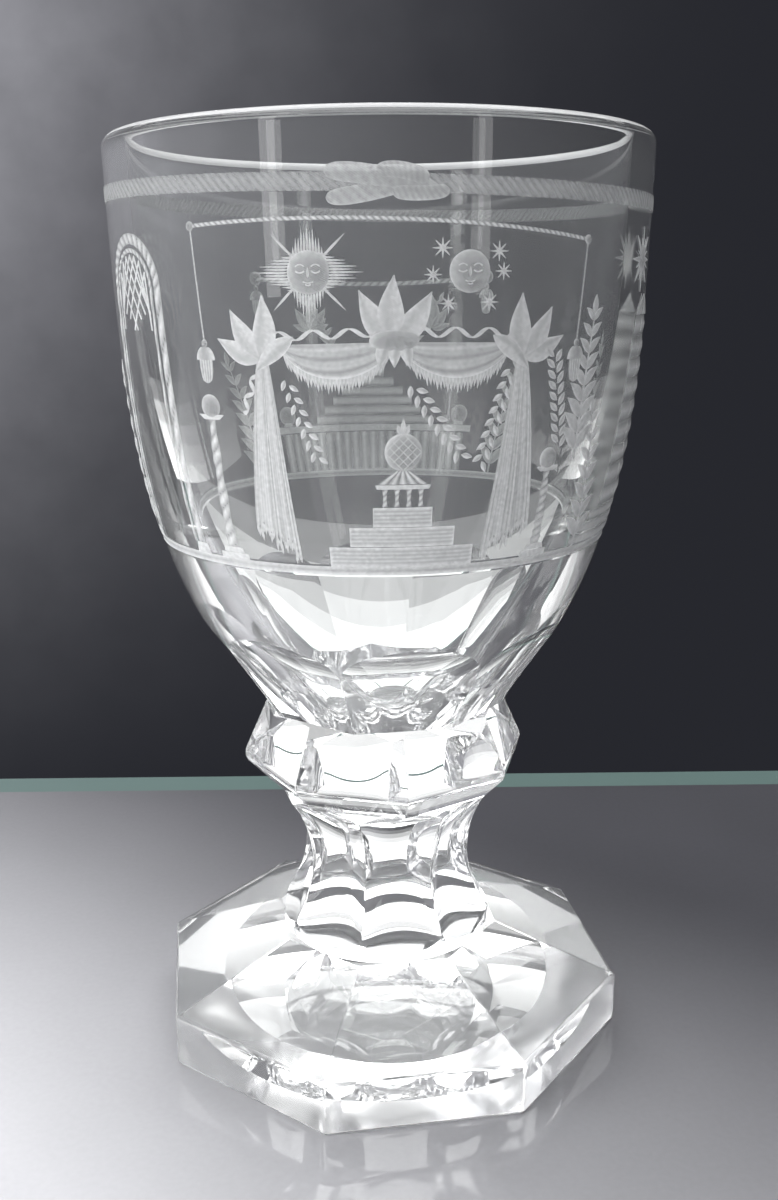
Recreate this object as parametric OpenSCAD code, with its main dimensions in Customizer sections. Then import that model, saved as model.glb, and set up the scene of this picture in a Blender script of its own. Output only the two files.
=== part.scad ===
// Cut-glass firing goblet: bowl, faceted knop, panelled stem and octagonal foot.
// Millimetres, +Z up, origin at the middle of the foot's resting face.

/* [Foot] */
// Width of the octagonal foot across its flats
foot_w = 77; // [70:0.5:84]
// Height of the foot's upright sides
foot_side_h = 9.2; // [7:0.2:12]
// Height of the foot's sloped top, from the sides up to the stem
foot_slope_h = 7.8; // [5:0.2:11]
// Chamfer along the foot's lower edge
foot_chamfer = 0.8; // [0.2:0.1:1.6]
// Width of the ground hollow under the foot
hollow_d = 54; // [44:1:62]
// Depth of the ground hollow at its middle
hollow_depth = 2.4; // [1:0.1:4]

/* [Stem] */
// Width of the stem at its two round ends
stem_end_d = 37; // [34:0.2:42]
// Width of the stem across its flats at the waist
stem_waist_w = 27.6; // [23:0.2:30]
// Length of the stem
stem_len = 26.9; // [23:0.1:31]
// Height of the round lip where the panels run out on the foot
stem_lip_h = 1.2; // [0.6:0.1:2]

/* [Knop] */
// Width of the knop across its flats at the ridge
knop_w = 45.4; // [43.4:0.2:50]
// Width of the neck across its flats, between knop and bowl
neck_w = 38.2; // [35:0.2:41]
// Height of the knop below its ridge
knop_low_h = 4.6; // [3:0.1:6]
// Height of the blunt ridge
knop_ridge_h = 1.6; // [0.6:0.1:2.4]
// Height of the knop above its ridge
knop_high_h = 8.6; // [6:0.1:11]

/* [Bowl] */
// Width of the bowl at the rim
rim_d = 85.2; // [78:0.2:92]
// Height of the bowl from the neck to the rim
bowl_h = 91.3; // [82:0.1:100]
// Thickness of the wall at the lip
wall = 3.6; // [2.4:0.1:4.6]
// Upright run of the wall's curve below the lip
wall_run_h = 27; // [20:0.5:34]
// Amount by which that run leans in
wall_lean = 0.7; // [0:0.1:2]
// Width where the bowl's curve turns in to the neck
turn_d = 55.4; // [51:0.2:60]
// Height of that turn above the neck
turn_h = 10.8; // [9:0.1:13]
// Outward run of the curve above the turn
turn_run_w = 14.4; // [11:0.2:17]
// Upward run of the curve above the turn
turn_run_h = 21.4; // [17:0.2:25]
// Slope of the short hollow curve below the turn, at the neck
neck_flare = 0.55; // [0.3:0.05:0.9]

/* [Hollow of the bowl] */
// Width of the flat floor inside the bowl
floor_d = 14; // [8:0.5:18]
// Depth of that floor below the neck
floor_drop = 2.2; // [1:0.1:3]
// Outward run of the inner curve above the floor
floor_run_w = 31.5; // [28:0.5:33]
// Upward run of the inner curve above the floor
floor_run_h = 27.5; // [25:0.5:32]

/* [Seat of the bowl in the knop] */
// Width of the bowl's boss, which sits in the knop
boss_d = 25; // [22:0.5:30]
// Height of that boss
boss_h = 5; // [4.2:0.1:6.5]
// Clearance round the boss
boss_clear = 0.03; // [0.02:0.01:0.1]

/* [Cut lines] */
// Height of the panels' arched tops above the neck
arch_top_h = 17; // [15:0.5:20]
// Rise of those arches
arch_rise = 6; // [4:0.5:9]
// Height of the ground line above the neck
line_h = 30.6; // [30:0.2:36]
// Width of the ground line
line_w = 1.5; // [0.8:0.1:2.5]
// Distance of the band below the rim, to the middle of its groove
band_drop = 8.8; // [7:0.2:14]
// Width of that band's groove
band_w = 2.4; // [1.6:0.1:4]
// Depth of both grooves
groove_depth = 0.35; // [0.2:0.05:0.6]

/* [Hidden] */
$fn = 96;

sides = 8;
half_turn = 180 / sides;
corner = 1 / cos(half_turn);

// Length by which a cut runs past the face that it opens
over = 1;

foot_h = foot_side_h + foot_slope_h;
stem_top_z = foot_h + stem_len;
knop_h = knop_low_h + knop_ridge_h + knop_high_h;
neck_z = stem_top_z + knop_h;
rim_z = neck_z + bowl_h;

// Radius of the cutting wheel that leaves a dip of the given depth over the given length
function wheel_r(length, dip) = (length * length / 4 + dip * dip) / (2 * dip);

// Points along a cubic curve with the four given handles, both ends included
function curve(a, b, c, d, steps) = [
    for (i = [0 : steps])
        let (t = i / steps, s = 1 - t)
        s * s * s * a + 3 * s * s * t * b + 3 * s * t * t * c + t * t * t * d
];

// Outline of the bowl, as radius and height, from the lip down to the neck
lip_r = wall / 2;
lip_z = rim_z - lip_r;
rim_r = rim_d / 2;
neck_r = neck_w / 2 * corner;
turn_z = neck_z + turn_h;
turn_slope = turn_run_w / turn_run_h;
neck_run_h = turn_h / 3;
body_curve = curve(
    [rim_r, lip_z],
    [rim_r - wall_lean, lip_z - wall_run_h],
    [turn_d / 2 + turn_run_w, turn_z + turn_run_h],
    [turn_d / 2, turn_z],
    40
);
neck_curve = curve(
    [turn_d / 2, turn_z],
    [turn_d / 2 - turn_slope * neck_run_h, turn_z - neck_run_h],
    [neck_r + neck_flare * neck_run_h, neck_z + neck_run_h],
    [neck_r, neck_z],
    6
);
outer_curve = concat(body_curve, [for (i = [1 : len(neck_curve) - 1]) neck_curve[i]]);

// Radius of that outline at a height
function bowl_r(z) = lookup(z, [for (p = outer_curve) [p[1], p[0]]]);

// Outline of the hollow, from the lip down to the floor
floor_r = floor_d / 2;
floor_z = neck_z - floor_drop;
inner_curve = curve(
    [rim_r - wall, lip_z],
    [rim_r - wall - wall_lean, lip_z - wall_run_h],
    [floor_r + floor_run_w, floor_z + floor_run_h],
    [floor_r, floor_z],
    26
);

// Half the angle that a panel spans at a height on the bowl: full, then closing in an arch
arch_top_z = neck_z + arch_top_h;
arch_foot_z = arch_top_z - arch_rise;
function panel_angle(z) =
    z < arch_foot_z ? half_turn : half_turn * sqrt(max(0, 1 - pow((z - arch_foot_z) / arch_rise, 2)));

// Half outline of one flat panel of the bowl, from the arch's top down to the neck, in steps that
// are closest where the arch closes
panel_steps = 18;
panel_curve = [
    for (i = [0 : panel_steps])
        let (z = arch_top_z - arch_top_h * pow(i / panel_steps, 1.5))
        [bowl_r(z) * cos(panel_angle(z)), z]
];

// Solid whose eight flat sides all follow the outline given as children
module eight_sided(width) {
    intersection_for (i = [0 : sides / 2 - 1])
        rotate([0, 0, i * 2 * half_turn])
            rotate([90, 0, 0])
                linear_extrude(height = width, center = true)
                    children();
}

// Outline that is the same on both sides of the axis, from the points on its right side
module mirrored_outline(points) {
    last = len(points) - 1;
    polygon(concat(points, [for (i = [last : -1 : 0]) [-points[i][0], points[i][1]]]));
}

// Hollow groove ground round the bowl at a height
module groove(z, width) {
    groove_r = wheel_r(width, groove_depth);
    rotate_extrude()
        translate([bowl_r(z) + groove_r - groove_depth, z])
            circle(r = groove_r);
}

module foot() {
    hollow_r = wheel_r(hollow_d, hollow_depth);
    color("gainsboro")
        difference() {
            eight_sided(foot_w * corner)
                mirrored_outline([
                    [stem_end_d / 2, foot_h],
                    [foot_w / 2, foot_side_h],
                    [foot_w / 2, foot_chamfer],
                    [foot_w / 2 - foot_chamfer, 0]
                ]);
            translate([0, 0, hollow_depth - hollow_r])
                sphere(r = hollow_r);
        }
}

module stem() {
    panel_len = stem_len - stem_lip_h;
    panel_r = wheel_r(panel_len, (stem_end_d - stem_waist_w) / 2);
    color("whitesmoke")
        translate([0, 0, foot_h])
            difference() {
                cylinder(d = stem_end_d, h = stem_len);
                for (i = [0 : sides - 1])
                    rotate([0, 0, i * 2 * half_turn])
                        translate([stem_waist_w / 2 + panel_r, 0, stem_lip_h + panel_len / 2])
                            rotate([90, 0, 0])
                                cylinder(r = panel_r, h = stem_end_d, center = true);
            }
}

// The knop's corners stand over the middles of the panels above and below it
module knop() {
    ridge_z = stem_top_z + knop_low_h;
    color("lightsteelblue")
        difference() {
            rotate([0, 0, half_turn])
                eight_sided(knop_w * corner)
                    mirrored_outline([
                        [neck_w / 2, neck_z],
                        [knop_w / 2, ridge_z + knop_ridge_h],
                        [knop_w / 2, ridge_z],
                        [stem_end_d / 2, stem_top_z]
                    ]);
            translate([0, 0, neck_z - boss_h])
                cylinder(d = boss_d + 2 * boss_clear, h = 2 * boss_h);
        }
}

module bowl() {
    color("aliceblue")
        difference() {
            union() {
                intersection() {
                    rotate_extrude()
                        union() {
                            polygon(concat(outer_curve, [[0, neck_z], [0, lip_z]]));
                            translate([0, lip_z - lip_r])
                                square([rim_r - lip_r, 2 * lip_r]);
                            translate([rim_r - lip_r, lip_z])
                                circle(r = lip_r);
                        }
                    eight_sided(2 * rim_d)
                        mirrored_outline(concat(
                            [[rim_d, rim_z + over], [rim_d, arch_top_z]],
                            panel_curve
                        ));
                }
                translate([0, 0, neck_z - boss_h])
                    cylinder(d = boss_d, h = boss_h + floor_drop);
            }
            rotate_extrude()
                difference() {
                    polygon(concat(
                        [[0, rim_z + over], [rim_r - lip_r, rim_z + over], [rim_r - lip_r, lip_z]],
                        inner_curve,
                        [[0, floor_z]]
                    ));
                    translate([rim_r - lip_r, lip_z])
                        circle(r = lip_r);
                }
            groove(rim_z - band_drop, band_w);
            groove(neck_z + line_h, line_w);
        }
}

foot();
stem();
knop();
bowl();
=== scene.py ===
from math import acos, atan2, copysign, cos, hypot, inf, pi, radians, sin, sqrt, tan

import bmesh
import bpy
from mathutils import Matrix, Vector


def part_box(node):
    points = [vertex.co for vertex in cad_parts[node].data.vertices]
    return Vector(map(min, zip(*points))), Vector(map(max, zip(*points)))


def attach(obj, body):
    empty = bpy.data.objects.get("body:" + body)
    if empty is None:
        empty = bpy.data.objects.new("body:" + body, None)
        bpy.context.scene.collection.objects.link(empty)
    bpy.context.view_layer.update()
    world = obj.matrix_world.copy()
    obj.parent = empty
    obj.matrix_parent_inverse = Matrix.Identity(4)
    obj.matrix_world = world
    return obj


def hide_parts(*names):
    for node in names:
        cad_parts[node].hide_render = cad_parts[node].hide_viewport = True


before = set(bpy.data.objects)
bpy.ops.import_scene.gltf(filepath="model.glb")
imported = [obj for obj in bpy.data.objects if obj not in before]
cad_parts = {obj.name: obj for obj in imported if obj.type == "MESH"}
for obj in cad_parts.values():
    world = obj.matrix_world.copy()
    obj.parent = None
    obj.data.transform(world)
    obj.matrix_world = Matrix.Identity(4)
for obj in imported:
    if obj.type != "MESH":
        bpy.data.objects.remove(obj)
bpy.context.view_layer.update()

MM = 0.001

# Heights and widths that the frame gives
FOOT_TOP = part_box("foot")[1].z
STEM_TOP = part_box("stem")[1].z
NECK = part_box("knop")[1].z
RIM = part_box("bowl")[1].z
BOSS_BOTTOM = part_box("bowl")[0].z
FOOT_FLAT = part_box("foot")[1].x
KNOP_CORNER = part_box("knop")[1].x
STEM_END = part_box("stem")[1].x
RIM_R = min(abs(side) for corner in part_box("bowl") for side in corner[:2])

# Foot
FOOT_SIDE = 9.2 * MM
FOOT_EDGE = 0.9 * MM
HOLLOW_R = 27 * MM
HOLLOW_DEPTH = 2.4 * MM
SEAT_MARGIN = 0.1 * MM

# Stem and knop
STEM_WAIST = 13.8 * MM
STEM_LIP = 1.2 * MM
STEM_HOLLOW = 1.5 * MM
KNOP_LOW = 4.6 * MM
KNOP_RIDGE = 1.6 * MM
KNOP_EDGE = 2.2 * MM
NECK_FLAT = 19.1 * MM
BOSS_R = 12.5 * MM

# Rounding of the upright edges between the panels
FOOT_ARRIS = 0.8 * MM
STEM_ARRIS = 0.35 * MM
KNOP_ARRIS = 0.45 * MM
BOWL_ARRIS = 0.25 * MM

# Bowl
WALL = 3.6 * MM
WALL_RUN = 27 * MM
WALL_LEAN = 0.7 * MM
TURN_R = 27.7 * MM
TURN_H = 10.8 * MM
TURN_RUN_W = 14.4 * MM
TURN_RUN_H = 21.4 * MM
NECK_FLARE = 0.55
FLOOR_R = 7 * MM
FLOOR_DROP = 2.2 * MM
FLOOR_RUN_W = 31.5 * MM
FLOOR_RUN_H = 27.5 * MM
ARCH_TOP = NECK + 17 * MM
ARCH_RISE = 6 * MM
BAND_Z = RIM - 8.8 * MM
LINE_Z = NECK + 30.6 * MM
LINE_W = 1.5 * MM
GROOVE_DEPTH = 0.16 * MM

# Grid of the cut glass: eight panels, each with its own columns of points
SIDES = 8
PANEL_TURN = 2 * pi / SIDES
HALF_PANEL = PANEL_TURN / 2
COLUMNS = 24
EVEN_SPREAD = HALF_PANEL / 2
LEAST_SPREAD = radians(2)
CUT_MERGE = 0.001 * MM
CUT_EDGE_ANGLE = radians(9)

# Share of a panel's columns that lie on its flat; the others go round its two edges
FLAT_SHARE = 0.5

# Engraving: points are millimetres along a circle of this radius and millimetres of height
ENGRAVING_R = 41
ENGRAVING_TURN = radians(-5.9)
ENGRAVING_LIFT = 0.03 * MM
ENGRAVING_SKIN = 0.05 * MM
ENGRAVING_MERGE = 0.004 * MM
ENGRAVING_BASE = LINE_Z / MM + 0.7
HALF_ROUND = pi * ENGRAVING_R
ENGRAVED_EDGE_ANGLE = radians(35)

# Camera of the photograph
CAMERA_TURN = radians(-8.7)
CAMERA_YAW = radians(-0.27)
CAMERA_PITCH = radians(14.51)
CAMERA_ROLL = radians(-0.49)
CAMERA_DISTANCE = 202.7 * MM
CAMERA_HEIGHT = 128.1 * MM
CAMERA_LENS = 36.55
SHELF_BACK = 104 * MM
SHELF_GAP = 0.03 * MM
SHELF_EDGE = 9 * MM
SHELF_THICK = 8 * MM

# Thick cut glass turns the light round inside it many times
GLASS_BOUNCES = 32
CLEAR_BOUNCES = 64


# Shaders

class Field:
    """A number that changes over a surface: a socket that takes part in sums."""

    def __init__(self, finish, socket):
        self.finish = finish
        self.socket = socket

    def sum(self, operation, first, second):
        return self.finish.node("ShaderNodeMath", {"operation": operation}, {0: first, 1: second})

    def __add__(self, other):
        return self.sum("ADD", self, other)

    __radd__ = __add__

    def __sub__(self, other):
        return self.sum("SUBTRACT", self, other)

    def __rsub__(self, other):
        return self.sum("SUBTRACT", other, self)

    def __mul__(self, other):
        return self.sum("MULTIPLY", self, other)

    __rmul__ = __mul__

    def __pow__(self, other):
        return self.sum("POWER", self, other)

    def above(self, level):
        return self.sum("GREATER_THAN", self, level)

    def sine(self):
        return self.sum("SINE", self, 0.0)

    def within(self, low, high):
        """The share of the way from low to high, kept between 0 and 1."""
        limits = {"Value": self, "From Min": low, "From Max": high}
        return self.finish.node("ShaderNodeMapRange", {"clamp": True}, limits)


class Shading:
    """The nodes that feed one shader."""

    def __init__(self, tree, shader, coordinates):
        self.tree = tree
        self.shader = tree.nodes[shader]
        self.coordinates = coordinates

    def node(self, kind, settings=None, inputs=None, output=0):
        made = self.tree.nodes.new(kind)
        for key, value in (settings or {}).items():
            setattr(made, key, value)
        for key, value in (inputs or {}).items():
            self.put(value, made.inputs[key])
        return Field(self, made.outputs[output])

    def put(self, value, socket):
        if isinstance(value, Field):
            self.tree.links.new(value.socket, socket)
        else:
            socket.default_value = value

    def feed(self, socket, value):
        self.put(value, self.shader.inputs[socket])

    def place(self):
        return self.node("ShaderNodeTexCoord", output=self.coordinates)

    def axis(self, name):
        return self.node("ShaderNodeSeparateXYZ", None, {0: self.place()}, name)

    def noise(self, scale, detail=2.0):
        inputs = {"Vector": self.place(), "Scale": scale, "Detail": detail}
        return self.node("ShaderNodeTexNoise", None, inputs)

    def bump(self, height, strength, distance):
        inputs = {"Height": height, "Strength": strength, "Distance": distance}
        return self.node("ShaderNodeBump", None, inputs)

    def blend(self, factor, first, second):
        """A colour between two others; 6, 7 and 2 are the colour sockets of a Mix node."""
        inputs = {"Factor": factor, 6: first, 7: second}
        return self.node("ShaderNodeMix", {"data_type": "RGBA"}, inputs, 2)


class Finish(Shading):
    """A material whose constants sit on its one Principled shader."""

    def __init__(self, name, **constants):
        self.material = bpy.data.materials.new(name)
        self.material.use_nodes = True
        super().__init__(self.material.node_tree, "Principled BSDF", "Object")
        for socket, value in constants.items():
            self.shader.inputs[socket.replace("_", " ")].default_value = value


def clear_glass(name, waves):
    """Polished old glass: faint smears, and slow waves in the surface."""
    finish = Finish(name, IOR=1.5, Transmission_Weight=0.965)
    smears = finish.noise(90, 4)
    tinted, clear = (0.97, 0.985, 0.98, 1), (0.99, 0.995, 0.99, 1)
    finish.feed("Base Color", finish.blend(smears, tinted, clear))
    finish.feed("Roughness", smears * 0.008)
    finish.feed("Normal", finish.bump(finish.noise(45, 1), waves, 0.2 * MM))
    return finish.material


def fused_seam():
    """Inside faces where two pieces of glass are one: nothing shows there."""
    return Finish("fused_seam", Alpha=0.0).material


def engraved_glass():
    """Wheel-cut glass: matt and pale, deepest where the tone of the drawing is high; that tone also
    holds painted shade on blades and bosses.
    """
    finish = Finish("engraved_glass", IOR=1.45, Transmission_Weight=0.2)
    tone = finish.node("ShaderNodeAttribute", {"attribute_name": "tone"}, output="Fac")
    grain = finish.noise(1700, 4)
    slant = finish.axis("Z") * 1.6 + finish.axis("X")
    strokes = ((slant + grain * 0.0004) * 14000).sine()
    # depth follows the tone, so it carries the painted shade of blades and bosses as well as the
    # depth of the cut.
    depth = tone * (0.6 + grain * 0.7) + strokes * 0.05
    shallow, deep = (0.34, 0.35, 0.35, 1), (0.8, 0.81, 0.81, 1)
    finish.feed("Base Color", finish.blend(depth, shallow, deep))
    finish.feed("Roughness", 0.5 + grain * 0.3)
    finish.feed("Alpha", 0.2 + depth * 0.62)
    finish.feed("Normal", finish.bump(grain + strokes * 0.3, 0.4, 0.05 * MM))
    return finish.material


def worn_glass(name, clearness, scale, detail, scuffed, smooth, roughness):
    """Glass dulled by long use; roughness is its least value and what the wear adds."""
    finish = Finish(name, IOR=1.5, Transmission_Weight=clearness)
    wear = finish.noise(scale, detail)
    finish.feed("Base Color", finish.blend(wear, scuffed, smooth))
    finish.feed("Roughness", roughness[0] + wear * roughness[1])
    return finish.material


def ground_border():
    """The border that the foot stands on."""
    scuffed, smooth = (0.9, 0.91, 0.92, 1), (0.97, 0.98, 0.98, 1)
    return worn_glass("ground_glass", 0.92, 220, 5, scuffed, smooth, (0.07, 0.06))


def worn_lip():
    """The lip of the bowl, dull enough to catch the light."""
    scuffed, smooth = (0.9, 0.91, 0.91, 1), (0.98, 0.98, 0.98, 1)
    return worn_glass("worn_lip", 0.4, 700, 3, scuffed, smooth, (0.14, 0.16))


def pale_shelf():
    """A dusty glass shelf over grey board, with painted light that makes it paler at the front left
    and darker at the back right, and a greenish rear edge.
    """
    finish = Finish(
        "pale_shelf", IOR=1.45, Specular_IOR_Level=0.1, Coat_Weight=0.7, Coat_Roughness=0.04
    )
    cloud = finish.noise(14, 5)
    dust = finish.noise(900, 2)
    tone = cloud * 0.8 + dust * 0.3
    away = finish.axis("Y") * cos(CAMERA_TURN) - finish.axis("X") * sin(CAMERA_TURN)
    right = finish.axis("X") * cos(CAMERA_TURN) + finish.axis("Y") * sin(CAMERA_TURN)
    edge = away.above(SHELF_BACK - SHELF_EDGE)
    # Painted light and shade: the board goes from dark at the back right to pale at the front left,
    # as if lit from the front left.
    painted_light = (right * 0.8 + away).within(90 * MM, -90 * MM) ** 1.5
    dark = finish.blend(tone, (0.045, 0.045, 0.05, 1), (0.075, 0.075, 0.085, 1))
    pale = finish.blend(tone, (0.4, 0.4, 0.415, 1), (0.54, 0.54, 0.56, 1))
    greenish = (0.1, 0.15, 0.14, 1)
    finish.feed("Base Color", finish.blend(edge, finish.blend(painted_light, dark, pale), greenish))
    finish.feed("Roughness", 0.4 + cloud * 0.15)
    return finish.material


GLASS_WAVY = clear_glass("blown_glass", 0.12)
GLASS_CUT = clear_glass("cut_glass", 0.04)
SEAM = fused_seam()
GROUND = ground_border()
LIP = worn_lip()
ENGRAVED = engraved_glass()


# Glass pieces: a half outline is drawn, spun round the axis, and ground flat on eight sides

def round_row(radius, height, spread=EVEN_SPREAD):
    """One ring of a piece that the grinding wheel leaves round."""
    return {"flat": inf, "blank": radius, "z": height, "spread": spread}


def cut_row(flat, height, blank=inf, hollow=0.0):
    """One ring whose eight sides are ground to a distance from the axis, flat or hollow."""
    return {"flat": flat, "blank": blank, "z": height, "spread": LEAST_SPREAD, "hollow": hollow}


def cubic(a, b, c, d, steps):
    """Points along a cubic curve, both ends included."""
    a, b, c, d = Vector(a), Vector(b), Vector(c), Vector(d)
    points = []
    for i in range(steps + 1):
        t = i / steps
        s = 1 - t
        points.append(s**3 * a + 3 * s * s * t * b + 3 * s * t * t * c + t**3 * d)
    return points


def wheel_r(length, dip):
    """Radius of the cutting wheel that leaves a dip of the given depth over the given length."""
    return (length**2 / 4 + dip**2) / (2 * dip)


def softened(corners, radius, steps=6):
    """An outline whose inner corners are rounded."""
    points = [Vector(corners[0])]
    for before, corner, after in zip(corners, corners[1:], corners[2:]):
        corner = Vector(corner)
        to_before = (Vector(before) - corner).normalized()
        to_after = (Vector(after) - corner).normalized()
        half = to_before.angle(to_after) / 2
        run = radius / tan(half)
        middle = corner + (to_before + to_after).normalized() * radius / sin(half)
        first = (corner + to_before * run - middle).normalized()
        last = (corner + to_after * run - middle).normalized()
        points += [middle + first.slerp(last, i / steps) * radius for i in range(steps + 1)]
    points.append(Vector(corners[-1]))
    return points


def ring_point(row, share, edge):
    """Place of a point on a ring, out from a panel's middle and along it; share is -1 to 1."""
    side = copysign(1, share)
    on_flat = abs(share) / FLAT_SHARE
    past = max(0, abs(share) - FLAT_SHARE) / (1 - FLAT_SHARE)
    flat, blank = row["flat"], row["blank"]
    corner_r = (flat - edge) / cos(HALF_PANEL) + edge
    if blank >= corner_r:
        run = (flat - edge) * tan(HALF_PANEL)
        if on_flat <= 1:
            return flat - row["hollow"] * (1 - on_flat**2), side * run * on_flat
        turn = past * HALF_PANEL
        return flat - edge + edge * cos(turn), side * (run + edge * sin(turn))
    spread = row["spread"]
    if flat < blank:
        spread = max(acos(flat / blank), LEAST_SPREAD)
        if on_flat <= 1 and spread > LEAST_SPREAD:
            return flat - row["hollow"] * (1 - on_flat**2), side * flat * tan(spread) * on_flat
    turn = spread * on_flat if on_flat <= 1 else spread + (HALF_PANEL - spread) * past
    return blank * cos(turn), side * blank * sin(turn)


def start_edit(name):
    """A new mesh with one point at the origin, open in edit mode."""
    bpy.ops.object.select_all(action="DESELECT")
    bpy.ops.mesh.primitive_plane_add(size=MM)
    piece = bpy.context.object
    piece.name = name
    piece.data.name = name
    bpy.ops.object.mode_set(mode="EDIT")
    bpy.ops.mesh.select_all(action="SELECT")
    bpy.ops.mesh.merge(type="CENTER")
    return piece


def spun_glass(name, rows, seams, edge, glass, dull=(), dull_finish=None, turn=0.0):
    """A closed piece of glass from its rings; seams and dull are stretches with another finish."""
    piece = start_edit(name)
    bmesh.from_edit_mesh(piece.data).verts.layers.int.new("row")
    here = Vector((0, 0, 0))
    for i, row in enumerate(rows):
        there = Vector((min(row["blank"], row["flat"]), 0, row["z"]))
        step = {"value": there - here}
        if i == 0:
            bpy.ops.transform.translate(**step)
        else:
            bpy.ops.mesh.extrude_vertices_move(TRANSFORM_OT_translate=step)
        here = there
        grid = bmesh.from_edit_mesh(piece.data)
        newest = next(point for point in grid.verts if point.select)
        newest[grid.verts.layers.int["row"]] = i
    bpy.ops.mesh.select_all(action="SELECT")
    bpy.ops.mesh.spin(
        steps=SIDES * COLUMNS,
        angle=2 * pi,
        center=(0, 0, 0),
        axis=(0, 0, 1),
        use_auto_merge=True,
    )
    bpy.ops.mesh.select_all(action="SELECT")
    bpy.ops.mesh.remove_doubles(threshold=CUT_MERGE)
    bpy.ops.mesh.normals_make_consistent(inside=False)
    grid = bmesh.from_edit_mesh(piece.data)
    mark = grid.verts.layers.int["row"]
    for face in grid.faces:
        stretch = min(point[mark] for point in face.verts)
        face.material_index = 1 if stretch in seams else 2 if stretch in dull else 0
    grind(grid, mark, rows, edge, turn)
    bmesh.update_edit_mesh(piece.data)
    bpy.ops.mesh.remove_doubles(threshold=2 * CUT_MERGE)
    bpy.ops.mesh.dissolve_degenerate(threshold=CUT_MERGE)
    bpy.ops.object.mode_set(mode="OBJECT")
    piece.data.materials.append(glass)
    piece.data.materials.append(SEAM)
    if dull_finish:
        piece.data.materials.append(dull_finish)
    finish_shading(piece)
    return piece


def grind(grid, mark, rows, edge, turn):
    """Slides the points of each ring on to its flats and softened edges; turn is a flat's place."""
    for point in grid.verts:
        row = rows[point[mark]]
        if hypot(point.co.x, point.co.y) < CUT_MERGE:
            continue
        angle = atan2(point.co.y, point.co.x)
        panel = turn + round((angle - turn) / PANEL_TURN) * PANEL_TURN
        out, along = ring_point(row, (angle - panel) / HALF_PANEL, edge)
        point.co.x = out * cos(panel) - along * sin(panel)
        point.co.y = out * sin(panel) + along * cos(panel)


def finish_shading(piece):
    """Smooth curves, sharp cut edges and flats that look flat."""
    bpy.ops.object.select_all(action="DESELECT")
    piece.select_set(True)
    bpy.context.view_layer.objects.active = piece
    bpy.ops.object.shade_smooth_by_angle(angle=CUT_EDGE_ANGLE)
    weigh = piece.modifiers.new("flat_faces_lead", "WEIGHTED_NORMAL")
    weigh.keep_sharp = True
    bpy.ops.object.modifier_apply(modifier=weigh.name)


def dress(piece, slot, *nodes):
    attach(piece, "root")
    if nodes:
        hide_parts(*nodes)
    return piece


def make_foot():
    hollow_r = wheel_r(2 * HOLLOW_R, HOLLOW_DEPTH)
    rows = []
    hollow_steps = 18
    for i in range(hollow_steps + 1):
        radius = HOLLOW_R * i / hollow_steps
        height = HOLLOW_DEPTH - hollow_r + sqrt(hollow_r**2 - radius**2)
        rows.append(round_row(radius, max(height, 0)))
    outline = softened(
        [
            (HOLLOW_R + MM, 0),
            (FOOT_FLAT, 0),
            (FOOT_FLAT, FOOT_SIDE),
            (STEM_END + SEAT_MARGIN, FOOT_TOP),
        ],
        FOOT_EDGE,
    )
    ground = {len(rows) - 1}
    rows += [cut_row(point.x, point.y) for point in outline[1:]]
    seams = {len(rows)}
    rows.append(round_row(STEM_END, FOOT_TOP))
    rows.append(round_row(0, FOOT_TOP))
    piece = spun_glass("foot_glass", rows, seams, FOOT_ARRIS, GLASS_CUT, ground, GROUND)
    return dress(piece, "clear_glass", "foot")


def make_stem():
    panel_len = STEM_TOP - FOOT_TOP - STEM_LIP
    dip = STEM_END - STEM_WAIST
    panel_r = wheel_r(panel_len, dip)
    middle = STEM_TOP - panel_len / 2
    rows = [round_row(0, FOOT_TOP), round_row(STEM_END, FOOT_TOP, LEAST_SPREAD)]
    steps = 44
    for i in range(steps + 1):
        height = FOOT_TOP + STEM_LIP + panel_len * i / steps
        flat = STEM_WAIST + panel_r - sqrt(panel_r**2 - (height - middle) ** 2)
        hollow = STEM_HOLLOW * sin(pi * i / steps)
        rows.append(cut_row(flat, height, STEM_END, hollow))
    rows.append(round_row(0, STEM_TOP))
    seams = {0, len(rows) - 2}
    piece = spun_glass("stem_glass", rows, seams, STEM_ARRIS, GLASS_CUT)
    return dress(piece, "clear_glass", "stem")


def make_knop():
    """The knop's corners stand over the middles of the panels above and below it."""
    ridge = KNOP_CORNER * cos(HALF_PANEL)
    outline = softened(
        [
            (STEM_END + SEAT_MARGIN, STEM_TOP),
            (ridge, STEM_TOP + KNOP_LOW),
            (ridge, STEM_TOP + KNOP_LOW + KNOP_RIDGE),
            (NECK_FLAT, NECK),
        ],
        KNOP_EDGE,
    )
    rows = [round_row(0, STEM_TOP), round_row(STEM_END, STEM_TOP)]
    rows += [cut_row(point.x, point.y) for point in outline]
    neck_row = len(rows) - 1
    rows += [round_row(BOSS_R, NECK), round_row(BOSS_R, BOSS_BOTTOM), round_row(0, BOSS_BOTTOM)]
    seams = {0, neck_row, neck_row + 1, neck_row + 2}
    piece = spun_glass("knop_glass", rows, seams, KNOP_ARRIS, GLASS_CUT, turn=HALF_PANEL)
    return dress(piece, "clear_glass", "knop")


def groove_dip(height, middle, width):
    """Depth of a hollow groove at a height."""
    groove_r = wheel_r(width, GROOVE_DEPTH)
    off = abs(height - middle)
    if off > width / 2:
        return 0
    return sqrt(groove_r**2 - off**2) - groove_r + GROOVE_DEPTH


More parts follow.
